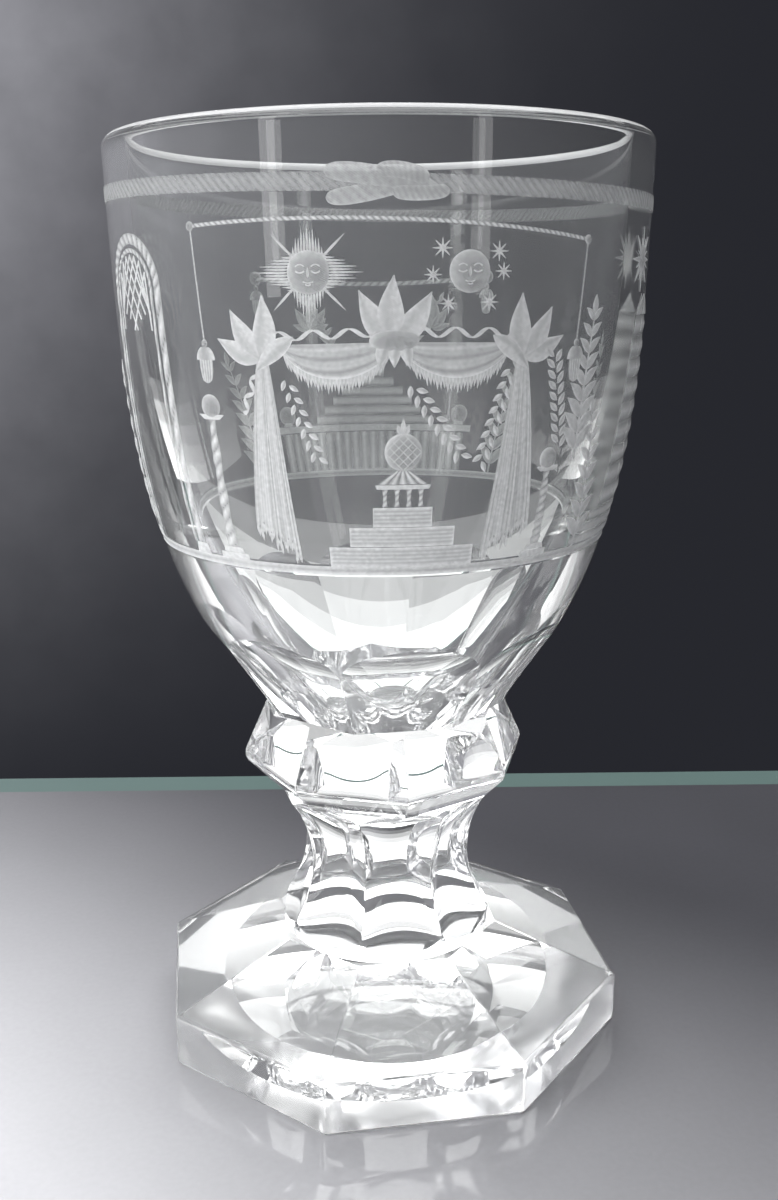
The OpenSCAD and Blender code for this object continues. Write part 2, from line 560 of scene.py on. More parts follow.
LIP_R = WALL / 2
LIP_Z = RIM - LIP_R
NECK_RUN = TURN_H / 3
NECK_R = NECK_FLAT / cos(HALF_PANEL)
BODY_CURVE = cubic(
    (RIM_R, LIP_Z),
    (RIM_R - WALL_LEAN, LIP_Z - WALL_RUN),
    (TURN_R + TURN_RUN_W, NECK + TURN_H + TURN_RUN_H),
    (TURN_R, NECK + TURN_H),
    400,
)
NECK_CURVE = cubic(
    (TURN_R, NECK + TURN_H),
    (TURN_R - TURN_RUN_W / TURN_RUN_H * NECK_RUN, NECK + TURN_H - NECK_RUN),
    (NECK_R + NECK_FLARE * NECK_RUN, NECK + NECK_RUN),
    (NECK_R, NECK),
    60,
)
OUTER_CURVE = (BODY_CURVE + NECK_CURVE[1:])[::-1]


def bowl_r(height):
    """Outer radius of the bowl at a height, before any groove."""
    for low, high in zip(OUTER_CURVE, OUTER_CURVE[1:]):
        if low.y <= height <= high.y:
            share = (height - low.y) / (high.y - low.y)
            return low.x + (high.x - low.x) * share
    return RIM_R


def panel_turn(height):
    """Half the angle of a cut panel at a height: full, then closing in an arch."""
    share = max(0, (height - ARCH_TOP + ARCH_RISE) / ARCH_RISE)
    return HALF_PANEL * sqrt(max(0, 1 - share**2))


def outer_rows():
    """The bowl's rings from the neck up: arched panels, then the round wall with its groove."""
    rows = []
    arch_steps = 44
    for i in range(arch_steps + 1):
        share = i / arch_steps
        height = NECK + (ARCH_TOP - NECK) * (1 - (1 - share) ** 1.6)
        radius = bowl_r(height)
        rows.append(cut_row(radius * cos(panel_turn(height)), height, radius))
    wall_steps = 120
    settle = 14 * MM
    for i in range(1, wall_steps + 1):
        height = ARCH_TOP + (LIP_Z - ARCH_TOP) * i / wall_steps
        share = min(1, (height - ARCH_TOP) / settle)
        dip = groove_dip(height, LINE_Z, LINE_W)
        spread = LEAST_SPREAD + (EVEN_SPREAD - LEAST_SPREAD) * share
        rows.append(round_row(bowl_r(height) - dip, height, spread))
    return rows


def make_bowl():
    rows = [round_row(0, BOSS_BOTTOM), round_row(BOSS_R, BOSS_BOTTOM), round_row(BOSS_R, NECK)]
    seams = {0, 1, 2}
    rows += outer_rows()
    lip_steps = 14
    lip = set(range(len(rows) + 2, len(rows) + lip_steps - 2))
    for i in range(1, lip_steps):
        turn = pi * i / lip_steps
        radius = RIM_R - LIP_R + LIP_R * cos(turn)
        rows.append(round_row(radius, LIP_Z + LIP_R * sin(turn)))
    inner = cubic(
        (RIM_R - WALL, LIP_Z),
        (RIM_R - WALL - WALL_LEAN, LIP_Z - WALL_RUN),
        (FLOOR_R + FLOOR_RUN_W, NECK - FLOOR_DROP + FLOOR_RUN_H),
        (FLOOR_R, NECK - FLOOR_DROP),
        70,
    )
    rows += [round_row(point.x, point.y) for point in inner]
    rows.append(round_row(0, NECK - FLOOR_DROP))
    piece = spun_glass("bowl_glass", rows, seams, BOWL_ARRIS, GLASS_WAVY, lip, LIP)
    return dress(piece, "clear_glass", "bowl")


FOOT = make_foot()
STEM = make_stem()
KNOP = make_knop()
BOWL = make_bowl()


# Engraving: thin plates drawn flat in millimetres, each from a grid, and wrapped round the bowl

def wrap(along, height, relief):
    """The place on the bowl of a point of the flat drawing."""
    angle = ENGRAVING_TURN + along / ENGRAVING_R
    radius = bowl_r(height * MM) + ENGRAVING_LIFT + relief * MM
    return Vector((radius * sin(angle), -radius * cos(angle), height * MM))


class Engraving:
    """One engraved figure: all its plates are points of the same piece."""

    def __init__(self, name, middle):
        self.piece = start_edit(name)
        bpy.ops.mesh.delete(type="VERT")
        self.middle = middle

    def patch(self, shape, columns=6, rows=6):
        """Adds a grid; shape gives place along, height, relief and tone for shares from -1 to 1."""
        bpy.ops.mesh.select_all(action="DESELECT")
        bpy.ops.mesh.primitive_grid_add(x_subdivisions=columns, y_subdivisions=rows, size=2)
        grid = bmesh.from_edit_mesh(self.piece.data)
        mark = grid.verts.layers.float.get("tone") or grid.verts.layers.float.new("tone")
        points = [point for point in grid.verts if point.select]
        for point in points:
            along, height, relief, point[mark] = shape(point.co.x, point.co.y)
            point.co = wrap(self.middle + along, height, relief)
        facing = 0
        for face in grid.faces:
            if face.select:
                face.normal_update()
                middle = face.calc_center_median()
                facing += face.normal.x * middle.x + face.normal.y * middle.y
        bmesh.update_edit_mesh(self.piece.data)
        if facing < 0:
            bpy.ops.mesh.flip_normals()

    def finish(self):
        bpy.ops.mesh.select_all(action="SELECT")
        bpy.ops.mesh.remove_doubles(threshold=ENGRAVING_MERGE)
        bpy.ops.object.mode_set(mode="OBJECT")
        thicken = self.piece.modifiers.new("skin", "SOLIDIFY")
        thicken.thickness = ENGRAVING_SKIN
        thicken.offset = 1
        bpy.ops.object.modifier_apply(modifier=thicken.name)
        self.piece.data.materials.append(ENGRAVED)
        bpy.ops.object.shade_smooth_by_angle(angle=ENGRAVED_EDGE_ANGLE)
        dress(self.piece, "engraved_glass")


def blade(base, tip, width, ridge=0.2, bend=0.0, level=0.0, fullness=0.8):
    """A leaf, petal or ray: pointed at both ends, with a raised midrib."""
    base, tip = Vector(base), Vector(tip)
    axis = tip - base
    side = Vector((-axis.y, axis.x)).normalized()

    def shape(s, t):
        share = (t + 1) / 2
        swell = max(0.04, sin(pi * share**fullness))
        off = width / 2 * swell * s + bend * sin(pi * share)
        place = base + axis * share + side * off
        # Painted shade: one half of each blade is made darker than the other, as if lit from one
        # side.
        shade = copysign(min(1, abs(s) * 3), s) * (1 - abs(s))
        tone = 0.74 - 0.2 * shade + 0.26 * abs(s) ** 3
        return place.x, place.y, level + ridge * (1 - abs(s)) * swell, tone

    return shape


def ribbon(path, width, relief):
    """A strip along a path; path, width and relief are functions of the share of its length."""

    def shape(s, t):
        share = (s + 1) / 2
        step = 0.01
        run = Vector(path(min(1, share + step))) - Vector(path(max(0, share - step)))
        side = Vector((-run.y, run.x)).normalized()
        place = Vector(path(share)) + side * width(share) / 2 * t
        return place.x, place.y, *relief(share, t)

    return shape


def slab(low, high, relief):
    """A four-sided plate from its low edge to its high edge, each (left, right, height)."""

    def shape(s, t):
        share = (t + 1) / 2
        left = low[0] + (high[0] - low[0]) * share
        right = low[1] + (high[1] - low[1]) * share
        place = left + (right - left) * (s + 1) / 2
        height = low[2] + (high[2] - low[2]) * share
        return place, height, *relief(s, t)

    return shape


def block(x, low, high, relief, half, top_half=None):
    """A plate about a middle; its top is as wide as its foot unless top_half is given."""
    top_half = half if top_half is None else top_half
    return slab((x - half, x + half, low), (x - top_half, x + top_half, high), relief)


def dome(middle, radius, bulge, level=0.0, squash=1.0):
    """A round boss."""

    def shape(s, t):
        x = s * sqrt(1 - t * t / 2)
        y = t * sqrt(1 - s * s / 2)
        rise = sqrt(max(0, 1 - x * x - y * y))
        # Painted light: the (y - x) term makes each boss paler at its upper left and darker at its
        # lower right, as if lit from the upper left.
        tone = 0.28 + 0.5 * (1 - rise) + 0.16 * (y - x)
        return middle[0] + radius * x, middle[1] + radius * squash * y, level + bulge * rise, tone

    return shape


def line(first, last, sag=0.0):
    """A path between two points that hangs by the given sag."""
    first, last = Vector(first), Vector(last)

    def path(share):
        place = first + (last - first) * share
        return place.x, place.y - sag * 4 * share * (1 - share)

    return path


def even(value):
    """The same value everywhere."""
    return lambda share: value


def plain(rise, tone=0.9):
    """Relief and tone of a smooth plate."""
    return lambda s, t: (rise, tone)


def cut(rise, swell):
    """Relief and tone of a plate whose cuts swell from 0 to 1."""
    return lambda s, t: (rise * swell(s, t), 0.25 + 0.75 * swell(s, t))


def twist(turns, rise):
    """Relief and tone of a cord with slanting strands."""
    def swell(share, t):
        return (1 - 0.5 * t * t) * abs(sin(pi * (turns * share + 0.35 * t)))

    return cut(rise, swell)


def pleats(count, rise):
    """Relief and tone of upright folds."""
    return cut(rise, lambda s, t: 0.5 + 0.5 * cos(pi * count * s))


def framed(rise):
    """Relief and tone of a block with a bright edge and faint courses inside it."""
    def swell(s, t):
        edge = max(abs(s) ** 24, abs(t) ** 6)
        return max(edge, 0.62 + 0.18 * cos(5 * pi * t))

    return cut(rise, swell)


def courses(count, rise):
    """Relief and tone of level rows of stone."""
    return cut(rise, lambda s, t: 0.5 + 0.5 * cos(pi * count * t))


def draw_rope_band(group):
    """A rope all round the bowl, a little lower on the right, as a hand-held wheel leaves it."""
    height, width, turns, lean = BAND_Z / MM - 0.7, 2.3, 210, 1.0

    def rope(s, t):
        ridge = abs(sin(pi * (turns * (s + 1) / 2 + 0.9 * t))) * (1 - 0.5 * t * t)
        z = height - lean * sin(pi * s) + width / 2 * t
        return HALF_ROUND * s, z, 0.005 + 0.05 * ridge, 0.2 + 0.32 * ridge

    group.patch(rope, turns * 6, 8)


def draw_ground_line(group):
    height, width = LINE_Z / MM, 1.3

    def groove(s, t):
        z = height + width / 2 * t
        dip = groove_dip(z * MM, LINE_Z, LINE_W) / MM
        return HALF_ROUND * s, z, 0.01 - dip, 0.55 + 0.45 * abs(t)

    group.patch(groove, 300, 6)


def lobe(first, last, width, sag, level):
    """A length of rope with round ends, for the knot."""
    strands = 9

    def body(share, t):
        ridge = abs(sin(pi * (strands * share + 0.6 * t)))
        return level + 0.01 * (1 - t * t), 0.4 + 0.22 * ridge + 0.2 * t**4

    def breadth(share):
        return width * sqrt(1 - (2 * share - 1) ** 6)

    return ribbon(line(first, last, sag), breadth, body)


def draw_rope_knot(group):
    lobes = [
        ((-7.6, 138.7), (4.2, 141.3), 2.2, 0.5),
        ((-7.8, 142.0), (6.4, 139.4), 2.5, -0.5),
        ((-1.4, 141.8), (5.0, 140.8), 2.1, -0.6),
        ((0.6, 139.4), (7.6, 139.6), 1.8, 0.3),
    ]
    for i, (first, last, width, sag) in enumerate(lobes):
        group.patch(lobe(first, last, width, sag, 0.05 + 0.008 * i), 40, 6)


def add_tassel(group, x, top):
    """A small ball, a cap like a mushroom's and a body of straight threads."""
    group.patch(dome((x, top), 0.5, 0.15, 0.05), 6, 6)
    cap_low, cap_high = top - 2.2, top - 0.5

    def cap(s, t):
        up = (t + 1) / 2
        half = 1.6 * sqrt(1 - 0.8 * up * up)
        height = cap_low + (cap_high - cap_low) * up
        return x + half * s, height, 0.06 + 0.14 * (1 - s * s), 0.5 + 0.45 * s * s

    group.patch(cap, 12, 6)

    def body(s, t):
        down = (1 - t) / 2
        half = 1.15 * sqrt(1 - 0.55 * down**3)
        thread = 0.5 + 0.5 * cos(5 * pi * s)
        height = cap_low - 3.1 * down * (1 - 0.12 * s * s)
        return x + half * s, height, 0.04 + 0.1 * thread, 0.5 + 0.4 * thread

    group.patch(body, 24, 8)


def draw_cord(group):
    left, right = (-28.1, 135.8), (27.8, 133.8)
    group.patch(ribbon(line(left, right, -1.4), even(0.5), twist(64, 0.1)), 384, 4)
    for (x, z), top in ((left, 120.6), (right, 120.2)):
        side = copysign(1, x)
        group.patch(dome((x, z), 0.6, 0.2, 0.05), 8, 8)
        hang = (x - side * 1.1, top)
        group.patch(ribbon(line((x, z), hang), even(0.26), twist(24, 0.06)), 96, 2)
        add_tassel(group, hang[0], top)


def add_face(group, x, z, size):
    """A plain face for the sun and the moon: a boss with brows, eyes, nose and mouth."""
    group.patch(dome((x, z), size, 0.1, 0.04), 16, 16)
    level = 0.14

    def stroke(first, last, height, width, sag, relief):
        up = z + height * size
        path = line((x + first * size, up), (x + last * size, up), sag * size)
        group.patch(ribbon(path, even(width * size), relief), 8, 1)

    for side in (-1, 1):
        for height, width, sag in ((0.26, 0.06, -0.1), (0.06, 0.07, 0.08)):
            stroke(side * 0.16, side * 0.58, height, width, sag, plain(level + 0.03, 0.95))
    bridge, tip = (x, z - 0.24 * size), (x, z + 0.24 * size)
    group.patch(blade(bridge, tip, 0.12 * size, 0.05, 0, level + 0.02), 3, 5)
    for height, half in ((-0.42, 0.24), (-0.54, 0.13)):
        stroke(-half, half, height, 0.06, 0.05, plain(level, 0.9))


def draw_sun(group):
    middle, radius, strokes = Vector((-11.1, 129.7)), 2.75, 7
    add_face(group, middle.x, middle.y, radius)
    for quarter, reach in enumerate((6.6, 5.6, 7.0, 5.9)):
        turn = Matrix.Rotation(quarter * pi / 2, 2)
        for i in range(1 - strokes, strokes):
            off = i * 0.37
            start = sqrt(radius**2 - off**2) - 0.3
            uneven = 1 if i % 2 == 0 else 0.72
            stop = start + 0.7 + (reach - radius) * (1 - (abs(i) / strokes) ** 1.3) * uneven
            base, tip = (middle + turn @ Vector((along, off)) for along in (start, stop))
            group.patch(blade(base, tip, 0.27, 0.04, 0, 0, 0.5), 2, 6)
        aim = turn @ Vector((1, 1)).normalized()
        group.patch(blade(middle + aim * (radius - 0.1), middle + aim * 6.7, 0.3, 0.05), 2, 8)


def add_star(group, x, z, radius, points=8):
    """Thin blades crossed at one point."""
    middle = Vector((x, z))
    for i in range(points // 2):
        angle = i * 2 * pi / points
        aim = Vector((cos(angle), sin(angle))) * radius
        ray = blade(middle - aim, middle + aim, 0.2 * radius, 0.08, 0, 0.02 * i, 1.0)
        group.patch(ray, 2, 8)


def draw_moon(group):
    x, z, radius = 9.4, 129.7, 2.7
    add_face(group, x, z, radius)
    stars = [(-3.6, 2.9), (-4.8, -0.4), (3.9, 2.5), (4.6, 0), (2.7, -3.9), (-2.8, -4.0)]
    for i, (right, up) in enumerate(stars):
        add_star(group, x + right, z + up, 1.3 - 0.15 * (i % 2))


def add_leaf_fan(group, x, z, length, spread=(0, 38, -38, 76, -76), shrink=0.2):
    """A tuft of pointed leaves that spring from one point."""
    for i, turn in enumerate(spread):
        angle = radians(turn)
        reach = length * (1 - shrink * abs(turn) / 38)
        tip = (x - reach * sin(angle), z + reach * cos(angle))
        bend = 0.05 * reach * copysign(1, turn)
        group.patch(blade((x, z), tip, 0.4 * reach, 0.12, bend, 0.03 * i, 0.72), 10, 16)


def add_swag(group, left, right, drop):
    """A hanging cloth between two points, with soft folds between its ends and a fringe."""
    def shape(s, t):
        share = (s + 1) / 2
        hang = (4 * share * (1 - share)) ** 0.7
        top = left[1] + (right[1] - left[1]) * share
        down = (1 - t) / 2
        broad = abs(sin(pi * (2.3 * down**1.3 + 0.5 * share)))
        fine = 0.5 + 0.5 * sin(34 * down + 5 * share)
        hem = max(0, down - 0.9) * 6
        height = top - (0.6 + (drop - 0.6) * hang) * down
        tone = 0.42 + 0.26 * broad**2 + 0.12 * fine + hem
        return left[0] + (right[0] - left[0]) * share, height, 0.1 * broad, tone

    group.patch(shape, 40, 40)
    fringe = 30
    for i in range(fringe):
        s = 2 * (i + 0.5) / fringe - 1
        x, z = shape(s, -1)[:2]
        tip = (x - 0.5 * s, z - 2.0 + 0.25 * (i % 3))
        group.patch(blade((x, z + 0.5), tip, 0.5, 0.06, 0, 0.02, 0.6), 2, 6)


def add_ribbon(group, first, last, waves, sway, width):
    """A loose thin ribbon that waves about a line and turns on edge."""
    first, last = Vector(first), Vector(last)
    side = Vector((first.y - last.y, last.x - first.x)).normalized()

    def path(share):
        return first + (last - first) * share + side * sway * sin(waves * pi * share)

    def breadth(share):
        return width * (0.5 + abs(cos(waves * pi * share)))

    group.patch(ribbon(path, breadth, plain(0.06)), 60, 2)


def draw_canopy(group):
    add_swag(group, (-15.0, 120.6), (-0.6, 120.9), 4.6)
    add_swag(group, (0.6, 120.9), (15.2, 120.6), 4.6)
    add_ribbon(group, (-16.6, 121.6), (-2.5, 122.2), 6, 0.55, 0.36)
    add_ribbon(group, (2.0, 122.2), (15.6, 121.8), 6, 0.6, 0.36)
    middle = -0.3
    add_leaf_fan(group, middle, 120.6, 8.7, (33, -36, 0), 0.07)
    group.patch(dome((middle, 121.1), 3.2, 0.1, 0.16, 0.42), 14, 10)
    for side in (-1, 0, 1):
        base, tip = (side * 1.2 + middle, 121.2), (side * 2.0 + middle, 117.6)
        group.patch(blade(base, tip, 1.7, 0.1, 0, 0.12), 6, 12)
    for x, z in ((-18.0, 118.6), (17.4, 118.6)):
        side = copysign(1, x)
        add_leaf_fan(group, x, z, 8.4, [-side * turn for turn in (68, 34, -3)], 0.08)
        inner, outer = (x - side * 4.6, z + 3.0), (x + side * 1.0, z - 1.6)
        group.patch(blade(inner, outer, 2.4, 0.12, 0.3 * side, 0.12), 8, 14)
    add_ribbon(group, (-18.6, 117.6), (-21.4, 111.4), 5, 0.5, 0.4)


def add_curtain(group, top, low_left, low_right, folds):
    """A gathered cloth that opens downwards, with uneven pleats and a ragged lower edge."""
    def shape(s, t):
        down = (1 - t) / 2
        share = (s + 1) / 2
        open_out = down**0.85
        left = top[0] - 0.9 + (low_left[0] - top[0] + 0.9) * open_out
        right = top[0] + 0.9 + (low_right[0] - top[0] - 0.9) * open_out
        low = low_left[1] + (low_right[1] - low_left[1]) * share
        uneven = s + 0.22 * sin(2.3 * pi * s)
        fold = abs(cos(pi * folds * uneven / 2 + 0.8 * down))
        ragged = 1.1 * cos(pi * folds * uneven) + 0.5 * cos(13 * pi * s)
        height = top[1] + (low + ragged * down - top[1]) * down
        fine = 0.5 + 0.5 * cos(15 * pi * s)
        place = left + (right - left) * share
        return place, height, 0.02 + 0.1 * fold, 0.5 + 0.26 * fold + 0.14 * fine

    group.patch(shape, 72, 30)
    tufts = 26
    for i in range(tufts):
        x, z, relief, _ = shape(2 * (i + 0.5) / tufts - 1, -1)
        group.patch(blade((x, z + 0.4), (x, z - 0.8 - 0.3 * (i % 3)), 0.3, 0.05, 0, relief), 2, 4)


def draw_curtains(group):
    add_curtain(group, (-17.9, 118.2), (-21.6, 95.4), (-14.6, 91.4), 5)
    add_curtain(group, (17.3, 118.2), (13.2, 91.4), (21.2, 95.4), 5)


def add_leaf_strand(group, first, last, count, size):
    """Oval leaves in two rows along a line."""
    first, last = Vector(first), Vector(last)
    run = (last - first) / count
    side = Vector((-run.y, run.x)).normalized()
    for i in range(count):
        for hand in (-1, 1):
            base = first + run * (i + 0.25 * hand) + side * hand * 0.15
            tip = base + run.normalized() * size * 0.75 + side * hand * size * 0.62
            group.patch(blade(base, tip, 0.45 * size, 0.15, 0, 0.02, 0.9), 3, 6)


def draw_leaf_strands(group):
    add_leaf_strand(group, (2.2, 115.0), (9.6, 104.8), 8, 1.7)
    add_leaf_strand(group, (15.6, 116.6), (11.6, 103.6), 8, 1.7)
    add_leaf_strand(group, (-14.6, 115.6), (-10.4, 104.4), 7, 1.5)
    add_leaf_strand(group, (25.2, 106.2), (22.6, 119.6), 9, 2.0)


def draw_temple(group):
    for half, low, high in ((11.0, ENGRAVING_BASE, 92.9), (7.8, 93.0, 95.8), (4.3, 95.9, 98.7)):
        group.patch(block(0, low, high, framed(0.12), half), 40, 10)

    def shaft_width(share):
        return 0.8 - 0.3 * sin(pi * share)

    for i in range(4):
        x = -2.55 + 1.7 * i
        group.patch(ribbon(line((x, 98.8), (x, 101.3)), shaft_width, twist(3, 0.2)), 16, 4)
    group.patch(block(0, 101.3, 101.9, plain(0.16), 3.7, 3.9), 12, 1)
    group.patch(block(0, 102.0, 103.8, pleats(5, 0.16), 3.6, 1.0), 24, 4)
    ball = (0, 106.4)
    group.patch(dome(ball, 2.55, 0.15, 0.04), 12, 12)

    def rounded(share, t):
        return 0.05 + 0.16 * sqrt(max(0, 1 - (2 * share - 1) ** 2)), 0.8

    diagonal = 0.7071
    for i in range(-2, 3):
        for hand in (-1, 1):
            reach = sqrt(1 - (i / 2.8) ** 2) * 2.4
            across = Vector((diagonal, hand * diagonal))
            along = Vector((-hand * diagonal, diagonal))
            base = Vector(ball) + across * i * 0.88
            bar = line(base - along * reach, base + along * reach)
            group.patch(ribbon(bar, even(0.12), rounded), 10, 1)
    for lean in (-0.8, 0.0, 0.8):
        group.patch(blade((lean * 0.4, 108.8), (lean, 110.9 - abs(lean)), 0.7, 0.12), 3, 6)


def add_column(group, x, low, high, width):
    """A turned column with a spiral shaft, a stepped base and a ball on top."""
    base_top, shaft_top = low + 1.8, high - 2.6
    group.patch(block(x, low, low + 0.9, plain(0.1), 1.9 * width), 6, 1)
    group.patch(block(x, low + 1.0, base_top, plain(0.14), 1.4 * width, 1.2 * width), 6, 1)

    def breadth(share):
        return width * (1.25 - 0.45 * share + 0.14 * sin(pi * 6 * share))

    group.patch(ribbon(line((x, base_top), (x, shaft_top)), breadth, twist(9, 0.25)), 54, 4)
    group.patch(block(x, shaft_top, high - 1.9, plain(0.14), 0.9 * width, 1.5 * width), 6, 1)
    group.patch(dome((x, high - 0.8), 1.1 * width, 0.25, 0.05), 8, 8)


def draw_columns(group):
    add_column(group, -27.0, ENGRAVING_BASE, 112.9, 1.5)
    add_column(group, 23.4, ENGRAVING_BASE, 105.2, 1.4)


def add_obelisk(group, x, low, high, width):
    """A tapering pillar with coursed faces on a stepped plinth."""
    for i in range(3):
        half = width * (1.25 - 0.2 * i)
        step = low + 1.7 * i
        group.patch(block(x, step, step + 1.6, courses(1, 0.1), half), 12, 3)
    base, shoulder = low + 5.2, high - 3
    for left, right, rise in ((1, 0, 0.08), (0, 1, 0.2)):
        edges = []
        for half, height in ((width * 0.62, base), (width * 0.3, shoulder), (0.02, high)):
            edges.append((x - half * left, x + half * right, height))
        group.patch(slab(edges[0], edges[1], courses(9, rise)), 5, 40)
        group.patch(slab(edges[1], edges[2], plain(rise)), 4, 5)


def add_spray(group, x, z, height, lean, count):
    """A leafy branch: a curved stalk with pairs of leaves that grow smaller."""
    def stalk(share):
        return x + lean * share**2, z + height * share

    group.patch(ribbon(stalk, lambda share: 0.5 - 0.3 * share, plain(0.06)), 30, 2)
    for i in range(count):
        share = (i + 0.6) / count
        here = Vector(stalk(share))
        size = height * 0.2 * (1.15 - 0.6 * share)
        for hand in (-1, 1):
            tip = here + Vector((hand * size * 0.8 + lean * 0.1, size * 0.75))
            group.patch(blade(here, tip, 0.42 * size, 0.18, 0.08 * size * hand, 0.03, 0.8), 4, 10)
    top = Vector(stalk(1))
    group.patch(blade(top, top + Vector((lean * 0.15, height * 0.13)), 0.06 * height, 0.18), 4, 10)


def add_arch(group, low, spring, half):
    """A round-topped lattice window on two splayed posts."""
    splay = 1.5

    def frame_path(reach):
        def path(share):
            if share < 0.25:
                up = share / 0.25
                return -reach - splay * (1 - up), low + (spring - low) * up
            if share > 0.75:
                down = (share - 0.75) / 0.25
                return reach + splay * down, spring + (low - spring) * down
            turn = pi * (share - 0.25) / 0.5
            return -reach * cos(turn), spring + reach * sin(turn)

        return path

    for reach, width in ((half, 1.5), (half - 1.6, 0.6)):
        group.patch(ribbon(frame_path(reach), even(width), twist(30, 0.15)), 180, 4)
    bars = 7
    inside = half - 2.2
    for i in range(bars):
        for hand in (-1, 1):
            x = inside * (2 * (i + 0.5) / bars - 1)
            top = spring + sqrt(inside**2 - x * x)
            run = min(2 * inside, top - low - 4) * 0.5
            last = (max(-inside, min(inside, x + hand * run)), top - run * 1.6)
            bar = ribbon(line((x, top), last), even(0.34), plain(0.05 + 0.03 * hand, 0.95))
            group.patch(bar, 10, 1)
    for side in (-1, 1):
        foot = side * (half + splay)
        group.patch(block(foot, low - 1.6, low, plain(0.12), 1.7, 1.3), 6, 2)


def draw_side_left(group):
    add_arch(group, ENGRAVING_BASE + 1.6, 127.5, 7.2)
    add_spray(group, -13.5, ENGRAVING_BASE, 24, -2.5, 7)


def draw_side_right(group):
    add_obelisk(group, 1.8, ENGRAVING_BASE, 126.5, 12.5)
    add_star(group, -1.0, 131.4, 4.6)
    add_star(group, -1.0, 131.4, 3.2, 16)
    add_spray(group, -12.5, ENGRAVING_BASE, 20, -1.5, 7)
    add_spray(group, -17.2, 104.0, 20, 1.5, 9)
    add_spray(group, 15.5, ENGRAVING_BASE, 26, 3.0, 8)


def draw_back_steps(group):
    group.patch(block(0, ENGRAVING_BASE, 97.5, pleats(21, 0.1), 21), 84, 6)
    group.patch(block(0, 97.7, 99.0, plain(0.14), 22.5), 40, 1)
    for i in range(6):
        reach = 12.6 - 2.0 * i
        step = 99.2 + 1.9 * i
        group.patch(block(0, step, step + 1.75, courses(1, 0.1), reach), 20, 3)
    group.patch(block(0, 110.8, 116.8, courses(5, 0.1), 2.6, 0.05), 6, 20)
    for side in (-1, 1):
        ball = side * 19.5
        group.patch(dome((ball, 101.2), 1.9, 0.3, 0.05), 10, 10)
        group.patch(block(ball, 99.1, 99.8, plain(0.1), 1.2, 0.8), 4, 1)
    end, height = 24, 128.5
    bar = ribbon(line((-end, height), (end, height), 1.2), even(0.9), twist(30, 0.15))
    group.patch(bar, 180, 4)
    for side in (-1, 1):
        group.patch(dome((side * end, height), 1.3, 0.3, 0.05), 8, 8)
        add_tassel(group, side * end, 126.6)


def draw_back_sprays(group):
    for side in (-1, 1):
        add_spray(group, side * 29, ENGRAVING_BASE, 22, side * 4.0, 8)
        add_spray(group, side * 8, 112, 12, side * 6.0, 6)
        add_leaf_fan(group, side * 12.5, 118.5, 6.5)


# The name of each figure, the middle of its drawing along the circle, and what draws it
FIGURES = [
    ("engraved_rope_band", 0, draw_rope_band),
    ("engraved_ground_line", 0, draw_ground_line),
    ("engraved_rope_knot", -1.0, draw_rope_knot),
    ("engraved_cord_and_tassels", 0, draw_cord),
    ("engraved_sun", 0, draw_sun),
    ("engraved_moon_and_stars", 0, draw_moon),
    ("engraved_canopy", 0, draw_canopy),
    ("engraved_curtains", 0, draw_curtains),
    ("engraved_leaf_strands", 0, draw_leaf_strands),
    ("engraved_temple", 0.9, draw_temple),
    ("engraved_columns", 0, draw_columns),
    ("engraved_side_left", -43.0, draw_side_left),
    ("engraved_side_right", 46.0, draw_side_right),
    ("engraved_back_steps", HALF_ROUND, draw_back_steps),
    ("engraved_back_sprays", HALF_ROUND, draw_back_sprays),
]
for title, centre, draw in FIGURES:
    figure = Engraving(title, centre)
    draw(figure)
    figure.finish()


# Scene round the object

SCENE = bpy.context.scene


def make_shelf():
    bpy.ops.object.select_all(action="DESELECT")
    bpy.ops.mesh.primitive_plane_add(size=1)
    shelf = bpy.context.object
    shelf.name = "shelf"
    half_width, front = 4.0, 3.0
    turn = Matrix.Rotation(CAMERA_TURN, 3, "Z")
    for point in shelf.data.vertices:
        x = copysign(half_width, point.co.x)
        y = SHELF_BACK if point.co.y > 0 else -front
        point.co = turn @ Vector((x, y, -SHELF_GAP))
    bpy.ops.object.mode_set(mode="EDIT")
    bpy.ops.mesh.select_all(action="SELECT")
    bpy.ops.mesh.extrude_region_move(TRANSFORM_OT_translate={"value": (0, 0, -SHELF_THICK)})
    bpy.ops.mesh.select_all(action="SELECT")
    bpy.ops.mesh.normals_make_consistent(inside=False)
    bpy.ops.object.mode_set(mode="OBJECT")
    shelf.data.materials.append(pale_shelf())


def make_lamp(name, turn, distance, height, size, power, aim=0.07, glossy=True, through_glass=True):
    """A softbox: turn is its angle round the object from the camera's side, to the right."""
    data = bpy.data.lights.new(name, "AREA")
    data.shape = "RECTANGLE"
    data.size, data.size_y = size
    data.energy = power
    lamp = bpy.data.objects.new(name, data)
    SCENE.collection.objects.link(lamp)
    angle = CAMERA_TURN + radians(turn)
    lamp.location = (distance * sin(angle), -distance * cos(angle), height)
    lamp.rotation_euler = (Vector((0, 0, aim)) - lamp.location).to_track_quat("-Z", "Y").to_euler()
    lamp.visible_camera = False
    lamp.visible_glossy = glossy
    lamp.visible_transmission = through_glass
    return lamp


def light_group(name, *pieces):
    """Pieces that a card lights on their own, so that the shelf stays plain."""
    group = bpy.data.collections.new(name)
    for piece in pieces:
        group.objects.link(piece)
    return group


def make_card(name, group, turn, distance, width, top, glow):
    """A bright card that stands on the shelf and fades upwards, seen only through the glass."""
    strips = 5
    step = top / strips
    for i in range(strips):
        height = (i + 0.5) * step
        size = (width, step)
        power = glow * (1 - height / top) * pi * width * step
        strip = make_lamp(f"{name}_{i}", turn, distance, height, size, power, height, glossy=False)
        strip.light_linking.receiver_collection = group


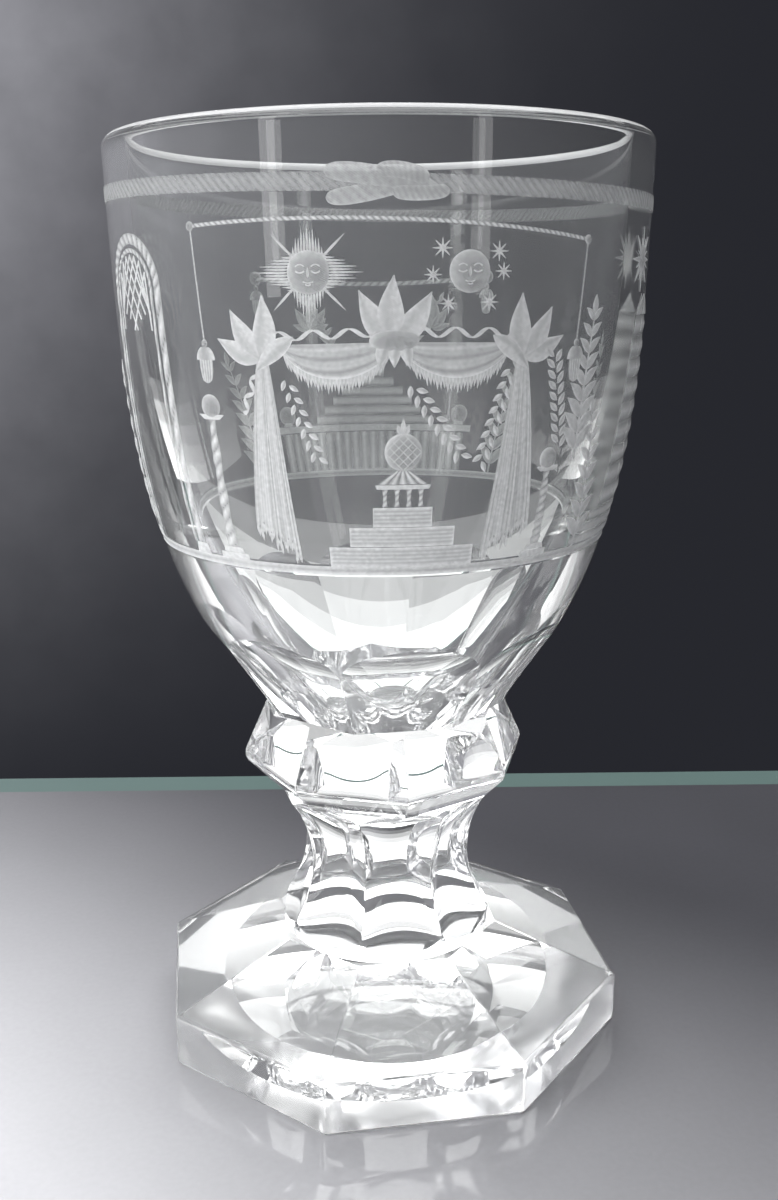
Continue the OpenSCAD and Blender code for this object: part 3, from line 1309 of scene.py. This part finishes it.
def make_softboxes():
    """The light on the whole scene, soft from the back and from above."""
    softbox = {"turn": 180, "distance": 0.62, "height": 0.64, "size": (1.0, 0.62)}
    make_lamp("softbox_back", **softbox, power=9, glossy=False)
    make_lamp("softbox_top", turn=0, distance=0.02, height=0.7, size=(0.9, 0.9), power=4)
    make_lamp("strip_left", turn=-42, distance=0.6, height=0.3, size=(0.07, 0.5), power=0.35)
    make_lamp("strip_right", turn=40, distance=0.6, height=0.3, size=(0.06, 0.5), power=0.22)
    unseen = {"glossy": False, "through_glass": False}
    beside = {"turn": -62, "distance": 0.17, "height": 0.09, "size": (0.1, 0.08)}
    make_lamp("near_left", **beside, power=0.18, aim=0.03, **unseen)
    before = {"turn": 0, "distance": 0.2, "height": 0.035, "size": (0.12, 0.05)}
    make_lamp("near_front", **before, power=0.13, aim=0.05, **unseen)


def make_cards():
    """The light that only the glass takes up."""
    glass = light_group("glass", FOOT, STEM, KNOP, BOWL)
    below_bowl = light_group("below_bowl", FOOT, STEM, KNOP)
    sides = (("left", -1), ("right", 1))
    make_card("card_back", glass, turn=180, distance=0.098, width=0.18, top=0.06, glow=1.9)
    for name, hand in sides:
        beside = {"turn": hand * 90, "distance": 0.19, "width": 0.26}
        make_card(f"card_{name}", glass, **beside, top=0.065, glow=2.6)
    for name, hand in sides:
        before = {"turn": hand * 42, "distance": 0.19, "width": 0.16}
        make_card(f"card_front_{name}", glass, **before, top=0.07, glow=1.8)
    lying = {"turn": 180, "distance": 0.068, "height": 0.5 * MM, "size": (0.16, 0.05)}
    flat = make_lamp("card_flat", **lying, power=0.04, aim=10, glossy=False)
    flat.light_linking.receiver_collection = below_bowl
    for name, hand in sides:
        raised = {"turn": hand * 122, "distance": 0.62, "height": 0.64, "size": (1.0, 0.62)}
        high = make_lamp(f"card_high_{name}", **raised, power=2.6, glossy=False)
        high.light_linking.receiver_collection = glass


def make_room():
    """A dark slate room, lighter up on the left and behind the camera."""
    world = bpy.data.worlds.new("slate_room")
    SCENE.world = world
    world.use_nodes = True
    room = Shading(world.node_tree, "Background", "Generated")
    leftness = (0.6 - room.axis("X")).within(0, 0.75) ** 4
    height = room.axis("Z").within(-0.42, 0.18) ** 1.6
    mottle = 0.75 + room.noise(24, 6) * 0.5
    front = room.axis("Y").within(0.1, -0.8)
    light = leftness * height * mottle + front * 0.5 + 0.02
    shadow, slate = (0.014, 0.015, 0.02, 1), (0.32, 0.32, 0.35, 1)
    room.feed("Color", room.blend(light, shadow, slate))


def make_camera():
    data = bpy.data.cameras.new("photo_camera")
    data.lens = CAMERA_LENS
    data.sensor_width = 36
    data.clip_start = 1 * MM
    camera = bpy.data.objects.new("photo_camera", data)
    SCENE.collection.objects.link(camera)
    turn = Matrix.Rotation(CAMERA_TURN, 4, "Z")
    yaw = Matrix.Rotation(CAMERA_YAW, 4, "Z")
    pitch = Matrix.Rotation(pi / 2 - CAMERA_PITCH, 4, "X")
    roll = Matrix.Rotation(CAMERA_ROLL, 4, "Z")
    stand = Matrix.Translation((0, -CAMERA_DISTANCE, CAMERA_HEIGHT))
    camera.matrix_world = turn @ stand @ (yaw @ pitch) @ roll
    SCENE.camera = camera


make_shelf()
make_softboxes()
make_cards()
make_room()
make_camera()
SCENE.view_settings.view_transform = "Standard"
SCENE.cycles.max_bounces = GLASS_BOUNCES
SCENE.cycles.glossy_bounces = GLASS_BOUNCES
SCENE.cycles.transmission_bounces = GLASS_BOUNCES
SCENE.cycles.transparent_max_bounces = CLEAR_BOUNCES

bpy.context.view_layer.update()
